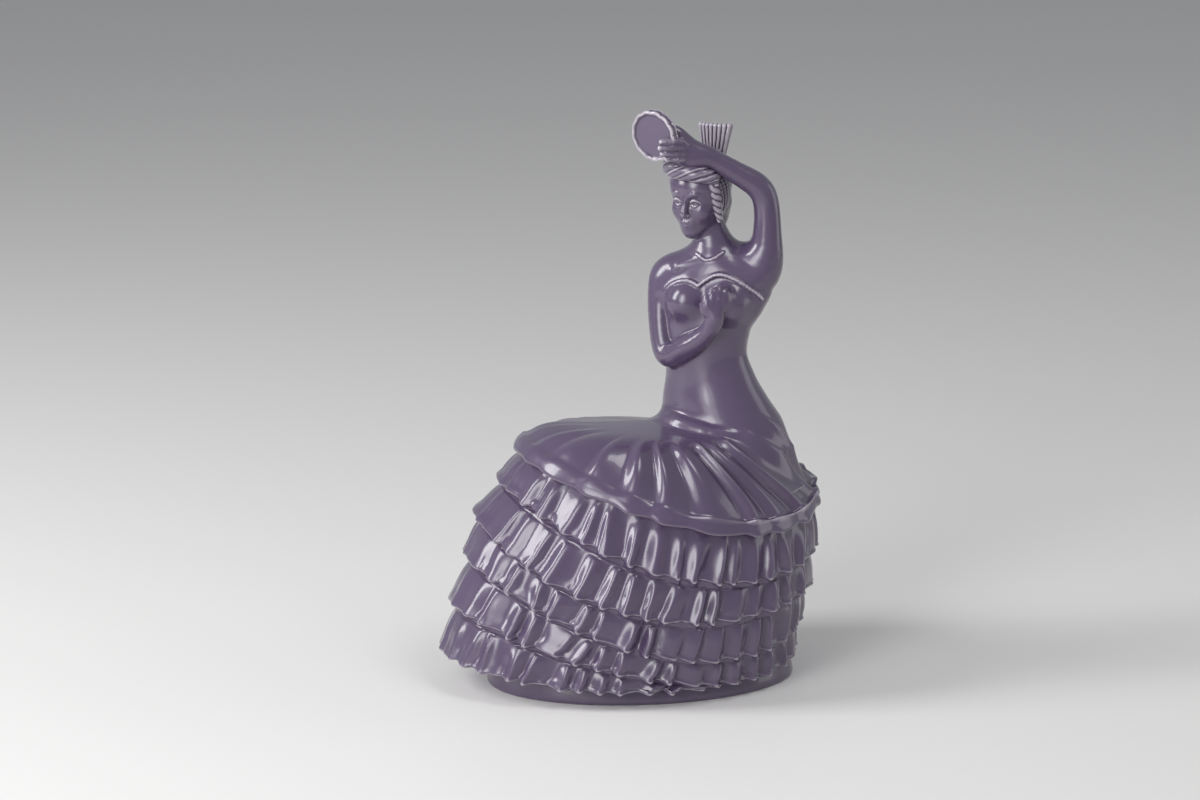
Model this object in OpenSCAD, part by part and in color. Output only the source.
// Figural lidded trinket box in glazed ceramic: a Spanish dancer whose flounced skirt is the box
// and whose overskirt, body and arms are the lift-off lid. Millimetres. +Z is up, the train points
// to -X, the front is -Y, and the origin is the middle of the flat foot.

/* [View] */
// Which piece to draw

/* [Foot] */
// Half length of the smooth oval foot, along X
foot_half_length = 61; // [56:0.5:64]
// Half depth of the smooth oval foot, along Y
foot_half_depth = 39; // [35:0.5:42]
// Rounding at the foot's bottom edge
foot_edge = 1.2; // [0.6:0.1:2]

/* [Flounces] */
// Gathers round each flounce
gathers = 30; // [24:1:34]
// How far the gathers stand in and out at a flounce's hem
gather_depth = 1.25; // [0.4:0.05:1.6]
// How far each flounce tucks in under the hem above it
tuck = 3.4; // [2.4:0.1:4]
// How much the right of each hem hangs below the left, on the top flounce
sweep = 14.2; // [10:0.2:15]

/* [Box] */
// Least wall between the cavity and the outside
wall = 5; // [4.5:0.1:6]
// Height of the cavity floor
floor_height = 6; // [5:0.25:8]
// Height of the seat above the lid's rim, all the way round
seat_lift = 2.8; // [2.2:0.1:3.6]
// Width of the seat that the lid rests on
seat_width = 4.2; // [3:0.1:5]

/* [Lid] */
// Flutes round the overskirt
flutes = 20; // [16:1:24]
// How far the flutes stand in and out at the rim
flute_depth = 1.5; // [0.6:0.1:1.8]
// Thickness of the lid's rim outside the seat
lip = 4.4; // [4:0.1:4.8]
// Thickness of the domed overskirt
shell = 4; // [3.5:0.1:4.5]
// Depth of the flange that keeps the lid in place
flange_depth = 4; // [3:0.25:5]
// Sideways clearance between the flange and the mouth
fit_gap = 0.5; // [0.4:0.05:0.9]

/* [Figure] */
// Turn of the body towards the train, degrees
body_turn = 30; // [20:1:35]
// Turn of the head towards the train, degrees
head_turn = 45; // [35:1:50]
// Height of the head, chin to crown
head_height = 30; // [28:0.5:31]
// How far the bust stands out
bust = 5.5; // [4:0.25:6.5]
// Thickness of the raised bead along the neckline
bead = 1.1; // [0.8:0.1:1.4]
// Width of the hair comb along its top
comb_width = 13; // [12:0.25:14]
// Height of the hair comb
comb_height = 11.5; // [10:0.25:13]
// Ribs on the hair comb
comb_ribs = 8; // [6:1:9]
// Radius of the tambourine
drum_radius = 10; // [9:0.1:11]
// Depth of the tambourine's hoop
drum_depth = 3.6; // [3:0.1:4.5]
// Sides of the tambourine's hoop
drum_sides = 13; // [11:1:15]

/* [Hidden] */
box_glaze = [0.47, 0.41, 0.57];
lid_glaze = [0.52, 0.46, 0.62];

// Hems from the lowest flounce up to the lid's rim: middle of the oval, half length, half depth,
// mean height, sweep share, fall towards the front, dip and twist of the hem line.
hem_x = [-9.5, -6.5, -2.5, 1.5, 7, 10.8];
hem_y = [1.5, 2, 2, 2, 2, 2];
hem_a = [69.5, 68.5, 66.5, 66.5, 62.5, 60.5];
hem_b = [46, 49, 52, 54, 54, 52];
hem_z = [9.1, 18.2, 30.7, 43.6, 60, 79];
rim_back = 8;      // how much lower the lid's rim runs round the back
hem_share = [0.21, 0.78, 1, 1.1, 1, 0.74];
hem_fall = [0.7, 2, 1.5, -1, 0, 4];
hem_dip = [2, 3.7, 6.8, 8, 7, 3.3];
hem_twist = [0, 2, 0.7, -3, 0, 2];
rim = len(hem_x) - 1;
gather_step = 4;   // points on each gather
flute_step = 4;    // points on each flute
n_box = gathers * gather_step;
n_lid = flutes * flute_step;
joint_gap = 0.4;   // between the lid's lip and the collar it covers
seat_gap = 0.2;    // between the glazed seat and the lid
flange_width = 3;
collar = lip + joint_gap;
crust = 3;         // least lid above the seat
mouth = collar + seat_width;

function mix(a, b, t) = a + (b - a) * t;
function behind(f) = max(0, sin(f));
function hem(i, f) = hem_z[i] - sweep * hem_share[i] * cos(f) + hem_fall[i] * sin(f)
    + hem_dip[i] * cos(2 * f) + hem_twist[i] * sin(2 * f)
    - (i == rim ? rim_back * pow(behind(f), 2) : 0);
function oval(x, y, a, b, f, z) = [x + a * cos(f), y + b * sin(f), z];
// A point on the oval between hem i and the next, moved in by inset.
function level(i, t, inset, f, z) = let (j = min(i + 1, rim))
    oval(mix(hem_x[i], hem_x[j], t), mix(hem_y[i], hem_y[j], t),
         mix(hem_a[i], hem_a[j], t) - inset, mix(hem_b[i], hem_b[j], t) - inset, f, z);
// The seat where the lid meets the box rises and falls with the rim.
function seat(f) = hem(rim, f) + seat_lift;
// A point moved in from the rim, at a height measured down from the seat.
function on_seat(inset, f, drop) = level(rim, 0, inset, f, seat(f) - drop);

// One closed skin over rings that run from an inner pole to an outer one.
module skin(rings, first, last) {
    n = len(rings[0]);
    m = len(rings);
    points = concat([first], [for (r = rings) each r], [last]);
    at = function (j, i) 1 + j * n + (i % n);
    faces = concat(
        [for (i = [0 : n - 1]) [0, at(0, i), at(0, i + 1)]],
        [for (j = [0 : m - 2], i = [0 : n - 1], h = [0, 1])
            h == 0 ? [at(j, i), at(j + 1, i), at(j + 1, i + 1)]
                   : [at(j, i), at(j + 1, i + 1), at(j, i + 1)]],
        [for (i = [0 : n - 1]) [at(m - 1, i), 1 + m * n, at(m - 1, i + 1)]]);
    polyhedron(points, faces, convexity = 10);
}

// One closed skin over rings that run round a wall and back to the first.
module tube(rings) {
    n = len(rings[0]);
    m = len(rings);
    at = function (j, i) (j % m) * n + (i % n);
    polyhedron([for (r = rings) each r],
        [for (j = [0 : m - 1], i = [0 : n - 1], h = [0, 1])
            h == 0 ? [at(j, i), at(j + 1, i), at(j + 1, i + 1)]
                   : [at(j, i), at(j + 1, i + 1), at(j, i + 1)]], convexity = 10);
}

// Rounded chain of balls: limbs, fingers, strands of hair.
module limb(path, radii, fn = 12)
    for (k = [0 : len(path) - 2])
        hull() {
            translate(path[k]) sphere(radii[k], $fn = fn);
            translate(path[k + 1]) sphere(radii[k + 1], $fn = fn);
        }

// ---------------------------------------------------------------- the box
// Every flounce: hem, belly and shoulder, each [height share, inset, gather share]. Under its hem
// the skin slopes in to the flounce below, at this share of that flounce's height.
flounce_rows = [[0, 0, 0.9], [0.3, 0.4, 1], [0.6, 1.3, 0.8]];
under_share = 0.8;
under_gathers = 0.3;

cove = 9;          // rounding in of the cavity at its floor
foot_tuck = 0.8;   // how far the foot has drawn in at the height of the floor
n_foot = 40;
function foot(inset, f, z) = oval(0, 0, foot_half_length - inset, foot_half_depth - inset, f, z);
function turns(n) = [for (i = [0 : n - 1]) 360 * i / n];

// The slab of the foot, up to the cavity floor.
module box_foot() color(box_glaze)
    skin([for (row = [[foot_edge, 0], [foot_edge * 0.3, foot_edge * 0.3], [0, foot_edge], [foot_tuck, floor_height]])
            [for (f = turns(n_foot)) foot(row[0], f, row[1])]],
         [0, 0, 0], [0, 0, floor_height]);

// The gathered wall that stands on the foot round the cavity.
module flounced_box() color(box_glaze) {
    turns = turns(n_box);
    wave = function (f, k) gather_depth * cos(gathers * f + 180 * (k % 2));
    under = function (k, f) k == 0 ? foot(foot_tuck * 2, f, hem(0, f) + foot_tuck)
        : level(k, 0, tuck - under_gathers * wave(f, k), f, mix(hem(k - 1, f), hem(k, f), under_share));
    outside = [for (k = [0 : rim - 1]) each concat(
        [[for (f = turns) under(k, f)]],
        [for (row = flounce_rows) [for (f = turns)
            level(k, row[0], row[1] - row[2] * wave(f, k), f, mix(hem(k, f), hem(k + 1, f), row[0]))]])];
    tube(concat(
        [[for (f = turns) foot(foot_tuck, f, floor_height)]],
        outside,
        [[for (f = turns) level(rim, 0, collar, f, hem(rim, f) + 0.4)],
         [for (f = turns) on_seat(collar, f, 0)],
         [for (f = turns) on_seat(mouth, f, 0)],
         [for (f = turns) level(rim - 1, 0, tuck + wall, f, hem(rim - 1, f))],
         [for (f = turns) level(2, 0, tuck + wall, f, hem(2, f))],
         [for (f = turns) foot(wall + 1.5, f, floor_height + cove * 0.7)],
         [for (f = turns) foot(wall + cove, f, floor_height)]]));
}

// ---------------------------------------------------------------- the lid
hip = [30, -1];
hip_a = 22;
hip_b = 17;
hip_z = 99.9;
hip_sweep = 3.8;    // how much the hip line falls away to the right
hip_back = 3;      // and how much round the back
function hip_line(f) = hip_z - hip_sweep * cos(f) - hip_back * behind(f);
// How full the cloth falls from hip to rim: straight at the right, a full dome over the train.
function drape(f) = let (train = (1 - cos(f)) / 2)
    (1.1 + 2.2 * train + 4.2 * pow(train, 4)) * (1 - 0.35 * behind(f));
function cloak(t, f, crust, depth) = let (
    w = depth * flute_depth * cos(flutes * f),
    p = oval(mix(hip.x, hem_x[rim], t), mix(hip.y, hem_y[rim], t),
             mix(hip_a, hem_a[rim], t) + w, mix(hip_b, hem_b[rim], t) + w, f, 0),
    z = mix(hip_line(f), hem(rim, f), pow(t, drape(f))))
    [p.x, p.y, max(z, seat(f) + crust)];

module overskirt() color(lid_glaze) {
    turns = [for (i = [0 : n_lid - 1]) 360 * i / n_lid];
    scallop = 0.5;
    flange_in = mouth + fit_gap + flange_width;
    under = function (t, f) let (p = cloak(t, f, crust, 0)) [p.x, p.y, p.z - shell];
    skin(concat(
        [[for (f = turns) under(0.05, f)],
         [for (f = turns) under(0.35, f)],
         [for (f = turns) under(0.6, f)]],
        [[for (f = turns) on_seat(flange_in, f, min(0, seat(f) - under(0.72, f).z))],
         [for (f = turns) on_seat(flange_in, f, flange_depth)],
         [for (f = turns) on_seat(mouth + fit_gap, f, flange_depth)],
         [for (f = turns) on_seat(mouth + fit_gap, f, -seat_gap)],
         [for (f = turns) on_seat(lip, f, -seat_gap)],
         [for (f = turns) level(rim, 0, lip, f, hem(rim, f) + 0.4)],
         [for (f = turns) let (w = flute_depth * cos(flutes * f))
            level(rim, 0, 0.8 - w, f, hem(rim, f) - scallop * cos(flutes * f))]],
        [for (t = [0.985, 0.93, 0.86, 0.76, 0.62, 0.46, 0.26, 0])
            [for (f = turns) cloak(t, f, t > 0.98 ? 0.6 - seat_lift : crust, 0.25 + 0.75 * t)]]),
        [hip.x, hip.y, hip_z - shell], [hip.x, hip.y, hip_z + 0.5]);
}

// ---------------------------------------------------------------- the figure
// Body outline by height: middle, half width across the shoulders, half depth.
body_x = [[98, 32.5], [104, 31.6], [112, 29.2], [122, 26.9], [131, 25.2], [139, 25.5], [147, 27.6],
          [156, 29.2], [163, 29], [169, 28.4], [174, 28]];
body_a = [[98, 25.5], [104, 24], [112, 21], [122, 17.5], [131, 16.2], [139, 17.2], [147, 20],
          [156, 22.2], [163, 21.2], [169, 12.4], [174, 8]];
body_b = [[98, 18.5], [104, 17.6], [112, 15.6], [122, 13.4], [131, 12.4], [139, 12.6], [147, 13.2],
          [156, 13], [163, 11.6], [169, 9.2], [174, 6.4]];
body_rows = [98, 104, 112, 120, 128, 135, 141, 146, 150, 154, 158, 162, 166, 170, 174];
body_sides = 24;
bust_turn = 30;    // each side of the front
bust_spread = 19;
bust_height = 151.5;
bust_rise = 6.5;
function swell(f, z) = bust * exp(-pow((z - bust_height) / bust_rise, 2))
    * (exp(-pow((f - 270 - bust_turn) / bust_spread, 2))
     + exp(-pow((f - 270 + bust_turn) / bust_spread, 2)));
function turned(p, a) = [p.x * cos(a) - p.y * sin(a), p.x * sin(a) + p.y * cos(a)];
function on_body(f, z, out = 0) = let (
    grow = swell(f, z) + out,
    q = turned([(lookup(z, body_a) + grow) * cos(f), (lookup(z, body_b) + grow) * sin(f)], -body_turn))
    [lookup(z, body_x) + q.x, -1 + q.y, z];
function body_point(f, z) = let (p = on_body(f, z), s = pow(max(0, (140 - z) / 42), 2))
    [p.x, p.y, z + s * (hip_line(f - body_turn) - hip_z)];

module torso() color(lid_glaze) {
    skin([for (z = body_rows) [for (i = [0 : body_sides - 1])
            body_point(360 * i / body_sides, z)]],
         [29.5, -1, 98], [28, -1, 175]);
    limb([for (f = [205 : 12 : 337]) on_body(f, neckline(f), -bead * 0.2)],
         [for (f = [205 : 12 : 337]) bead / 2], 6);
}
// Sweetheart neckline.
function neckline(f) = 155.4 + 4 * abs(sin((f - 270) * 3)) + (f - 270) * 0.07
    - pow(abs(f - 270) / 65, 4) * 6.5;

head_mid = [22.6, 0.5, 190.5];
neck_base = [28, -0.6, 169];
head_tilt = 8;
head_design = 30;   // head height that the head's and hair's own numbers are drawn for
head_scale = head_height / head_design;
crown = head_mid + [0, 0, head_scale * 17];
ball = 10;
module blob(p, r, fn = 10) translate(p) scale(r) sphere(1, $fn = fn);
module face_frame() translate(head_mid) rotate([head_tilt, 0, -head_turn])
    scale(head_scale) children();

module skull() {
    hull() { blob([0, 2, 4], [9.3, 11.2, 10]); blob([0, -0.5, -1.5], [8.6, 9.4, 9]); }
    hull() { blob([0, -1.2, -3], [8.2, 8.6, 7.4]); blob([0, -6.6, -11.6], [3.4, 3, 2.8]); }
}
module head() color(lid_glaze) {
    face_frame() {
        skull();
        hull() { blob([0, -9.6, 0.6], [1, 1, 1.2], 8); blob([0, -11.8, -4], [1.4, 1.3, 1.2], 8); }
        for (s = [-1, 1]) {
            hull() { blob([1.6 * s, -9.6, 2.6], [0.7, 0.7, 0.6], 6); blob([5.4 * s, -8, 2.7], [0.7, 0.7, 0.5], 6); }
            hull() { blob([2.6 * s, -9, 0.1], [0.8, 0.8, 0.7], 6); blob([4.6 * s, -8.3, 0.1], [0.8, 0.8, 0.7], 6); }
            hull() { blob([0, -10.2, -7.1], [0.9, 0.7, 0.6], 6); blob([2.2 * s, -9.2, -7.3], [0.5, 0.5, 0.4], 6); }
        }
        hull() { blob([-1.2, -9.9, -8.5], [0.8, 0.7, 0.6], 6); blob([1.2, -9.9, -8.5], [0.8, 0.7, 0.6], 6); }
    }
    limb([head_mid + [3, 3, -6], neck_base + [0, 0, 6], neck_base], [6.2, 6.3, 8], 14);
}

brow_roll = [[10, -3.6, 9.8], [8, -7.8, 12], [3.4, -10.2, 13.2], [-1.6, -10.8, 13.8], [-6.2, -9.6, 13.6],
             [-9.4, -6.2, 12.4], [-10.4, -1.6, 10.4]];
brow_radii = [2.6, 3.3, 3.5, 3.8, 3.7, 3.3, 2.6];
module hair() color(lid_glaze) difference() {
    face_frame() {
        hull() { blob([0, 3.6, 5], [10.4, 11.6, 11]); blob([0, 7, -3], [8.4, 7.6, 8]); }
        hull() { blob([0, 9, -4], [6, 5.4, 6]); blob([0, 7, -11], [4, 4, 4]); }
        // rolled wave over the brow
        limb(brow_roll, brow_radii, 9);
        // twisted lock in front of the near ear and over the far one
        for (lock = [[-1, -0.9], [1, -4.2]])
            limb([for (j = [0 : 5])
                    [lock[0] * (9.5 - 0.1 * j), lock[1] + 0.62 * j + (j % 2) * 0.7, 7.4 - 3 * j]],
                 [1.9, 2.1, 1.9, 1.9, 1.6, 1.2], 6);
    }
    face_frame() scale(0.955) skull();
}

comb_foot = head_mid + head_scale * [5.7, 3.1, 15.7];
module hair_comb() color(lid_glaze) translate(comb_foot) rotate([-4, 0, -head_turn + 14]) {
    step = comb_width / comb_ribs;
    top = 3.6;
    foot_share = 0.62;
    for (k = [0 : comb_ribs - 1]) {
        x = (k - (comb_ribs - 1) / 2) * step;
        bow = 0.06 * x * x;
        hull() {
            translate([x * foot_share, bow * 0.4, -1]) cylinder(h = 1, r = step * 0.45, $fn = 6);
            translate([x, bow - 0.6, comb_height]) cylinder(h = 1, r = step * 0.62, $fn = 6);
            translate([x * foot_share, 2 + bow * 0.4, -1]) cylinder(h = 1, r = step * 0.42, $fn = 6);
            translate([x, bow + top - 1.2, comb_height]) cylinder(h = 1, r = step * 0.56, $fn = 6);
        }
    }
    // flowers at the comb's root
    for (k = [-1 : 1]) blob([k * 3.6, -1.6, 0.4 - abs(k)], [2.3, 1.9, 1.9], 6);
}

shoulder_up = [46, -8.5, 165];
elbow_up = [46.4, -10, 194.5];
wrist_up = [24, -9.5, crown.z + 0.1];
palm_up = [15.4, -10.6, crown.z + 2.9];
upper_arm_up = mix(shoulder_up, elbow_up, 0.5) + [0.7, -0.8, 0.2];
forearm_up = [for (t = [0.14, 0.43]) mix(elbow_up, wrist_up, t) + [0, 0, 2.4 - 1.4 * t]];
// knuckle and tip of each finger from the palm, then the thumb's tip
fingers_up = [[[-3.8, -1.8, 4.2], [-10.8, -3.4, 4.5]], [[-4, -2.2, 2], [-11.4, -3.8, 2.2]],
              [[-3.4, -2.3, -0.2], [-10.6, -4, 0]], [[-1.8, -2, -2.3], [-8.8, -4, -2.2]]];
thumb_up = [-4.6, 0.2, 6];
finger_radii = [2.4, 1.15, 0.9];
module hand(palm, fingers, thumb) {
    for (finger = fingers) limb([palm, palm + finger[0], palm + finger[1]], finger_radii, 6);
    limb([palm, palm + thumb], [2.2, 1.1], 6);
}
module raised_arm() color(lid_glaze) {
    limb(concat([shoulder_up + [-6, 2.5, -4], shoulder_up, upper_arm_up, elbow_up], forearm_up,
                [wrist_up, palm_up]), [6.4, 6.8, 4.9, 4.3, 4.3, 4, 3.5, 4], ball);
    hand(palm_up, fingers_up, thumb_up);
}

shoulder_in = [11.4, 7, 158.6];
elbow_in = [10.2, -0.6, 130];
wrist_in = [23, -17.4, 142];
palm_in = [24.8, -20.4, 148.4];
upper_arm_in = mix(shoulder_in, elbow_in, 0.46) + [-1.7, 2, 0];
forearm_in = mix(elbow_in, wrist_in, 0.5) + [-0.2, -1, -1.6];
fingers_in = [[[-2.2, -1.4, 5.2], [-3, -0.2, 8.8]], [[-0.6, -1.8, 5.8], [-1.2, -1, 10.2]],
              [[1, -1.8, 5.6], [0.6, -1.2, 10]], [[2.4, -1.4, 4.6], [2.2, -1, 8.2]]];
thumb_in = [-3.4, 0.4, 3];
module folded_arm() color(lid_glaze) {
    limb([shoulder_in + [6, -2, 1], shoulder_in, upper_arm_in, elbow_in, forearm_in, wrist_in, palm_in],
         [6, 6, 5, 4.6, 4.2, 3.1, 3.4], ball);
    hand(palm_in, fingers_in, thumb_in);
}

drum_mid = palm_up + [-13.2, 1.6, 5.8];
drum_turn = 222.4;  // bearing the skin faces
drum_lean = 99.4;   // from straight up
// Hoop outline with a hollow in each side, where the jingles would sit.
module hoop(r) polygon([for (k = [0 : 4 * drum_sides - 1]) let (
    a = 90 * k / drum_sides, q = r * (1 - 0.035 * (1 - abs(cos(drum_sides * a / 2)))))
    [q * cos(a), q * sin(a)]]);
module tambourine() color(lid_glaze) translate(drum_mid) rotate([0, drum_lean, drum_turn])
    difference() {
        translate([0, 0, -drum_depth]) linear_extrude(drum_depth) hoop(drum_radius);
        translate([0, 0, -0.7]) linear_extrude(2) hoop(drum_radius - 1.4);
    }

box_foot();
flounced_box();
overskirt();
torso();
head();
hair();
hair_comb();
raised_arm();
folded_arm();
tambourine();
